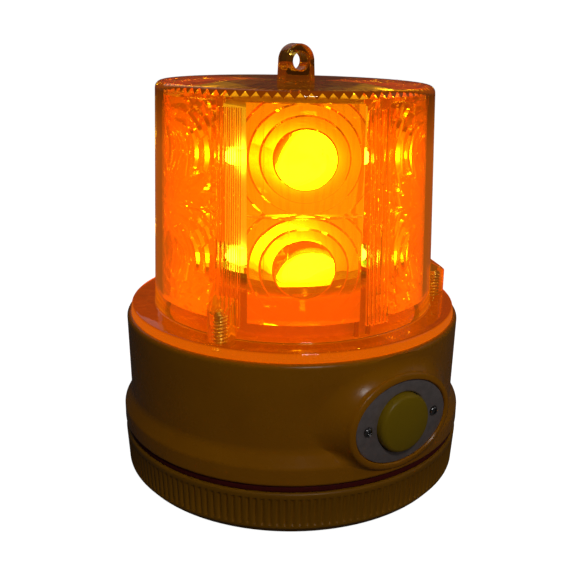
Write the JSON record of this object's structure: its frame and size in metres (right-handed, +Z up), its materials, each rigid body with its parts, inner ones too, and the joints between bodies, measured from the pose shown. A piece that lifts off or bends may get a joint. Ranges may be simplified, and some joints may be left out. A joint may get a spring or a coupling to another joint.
{
  "type": "battery warning beacon",
  "caption": "Battery warning beacon: amber drum lens with bullseye tiles and a hanging loop on a round yellow base with an oval push switch and a fluted screw cap.",
  "frame": {"origin": "centre of the foot, on the surface the beacon stands on", "axes": "+Z up along the lens axis; the push button faces -Y"},
  "size_m": [0.1258, 0.1297, 0.1525],
  "materials": {
    "cap_yellow": "moulded, satin",
    "housing_yellow": "moulded, satin",
    "button_yellow": "moulded, satin",
    "amber_lens": "clear moulded amber, gloss",
    "amber_optic": "clear moulded amber, stepped",
    "grey_foam": "foam",
    "zinc_steel": "zinc plated",
    "dark_steel": "dark zinc",
    "ferrite": "sintered",
    "black_rubber": "matte",
    "dark_red_rubber": "matte",
    "black_plastic": "moulded",
    "white_plastic": "moulded",
    "board_white": "solder mask",
    "board_green": "solder mask",
    "led_package": "moulded",
    "lit_led": "lit",
    "can_aluminium": "drawn",
    "cell_jacket": "printed sleeve",
    "nickel": "nickel plated",
    "grey_plate": "satin",
    "plate_screw": "polished",
    "lead_red": "insulated wire"
  },
  "bodies": {
    "housing": {"housing_shell": "housing_yellow", "cap_gasket": "dark_red_rubber", "lens": "amber_lens", "lens_gasket": "black_rubber", "lens_screws": "dark_steel", "bullseye_optics": "amber_optic", "led_tower": "white_plastic", "led_boards": "board_white", "led_bodies": "led_package", "led_domes": "lit_led", "driver_board": "board_green", "controller_chip": "black_plastic", "capacitors": "can_aluminium", "board_screws": "zinc_steel", "contact_carrier": "black_plastic", "contact_springs": "nickel", "battery_pins": "nickel", "switch_plate": "grey_plate", "plate_screws": "plate_screw", "switch_body": "black_plastic", "switch_seal": "black_rubber", "button_spring": "nickel", "switch_leads": "lead_red"},
    "battery_pack": {"battery_cells": "cell_jacket", "cell_terminals": "nickel", "cassette_frame": "black_plastic", "lower_contacts": "nickel", "upper_contacts": "nickel"},
    "base_cap": {"base_cap": "cap_yellow", "cap_liner": "grey_foam", "magnet_cup": "zinc_steel", "magnet_ring": "ferrite", "magnet_bolt": "zinc_steel", "magnet_nut": "zinc_steel", "magnet_pad": "black_rubber"},
    "button": {"switch_button": "button_yellow", "switch_plunger": "white_plastic"}
  },
  "joints": [
    {"name": "cap_drop", "type": "slide", "parent": "housing", "child": "battery_pack", "axis": [0, 0, -1], "range_m": [0, 0.0081], "deforming": ["contact_springs"]},
    {"name": "cap_turn", "type": "hinge", "parent": "battery_pack", "child": "base_cap", "pos_m": [0, 0, 0.01], "axis": [0, 0, -1], "range_deg": [0, 120]},
    {"name": "button_press", "type": "slide", "parent": "housing", "child": "button", "axis": [0, 1, 0], "range_m": [0, 0.0015], "stiffness_N_per_m": 800, "springref_m": -0.001, "deforming": ["button_spring"]}
  ],
  "couplings": [
    {"joint": "cap_drop", "follows": "cap_turn", "m_per_rad": 0.0038197}
  ]
}
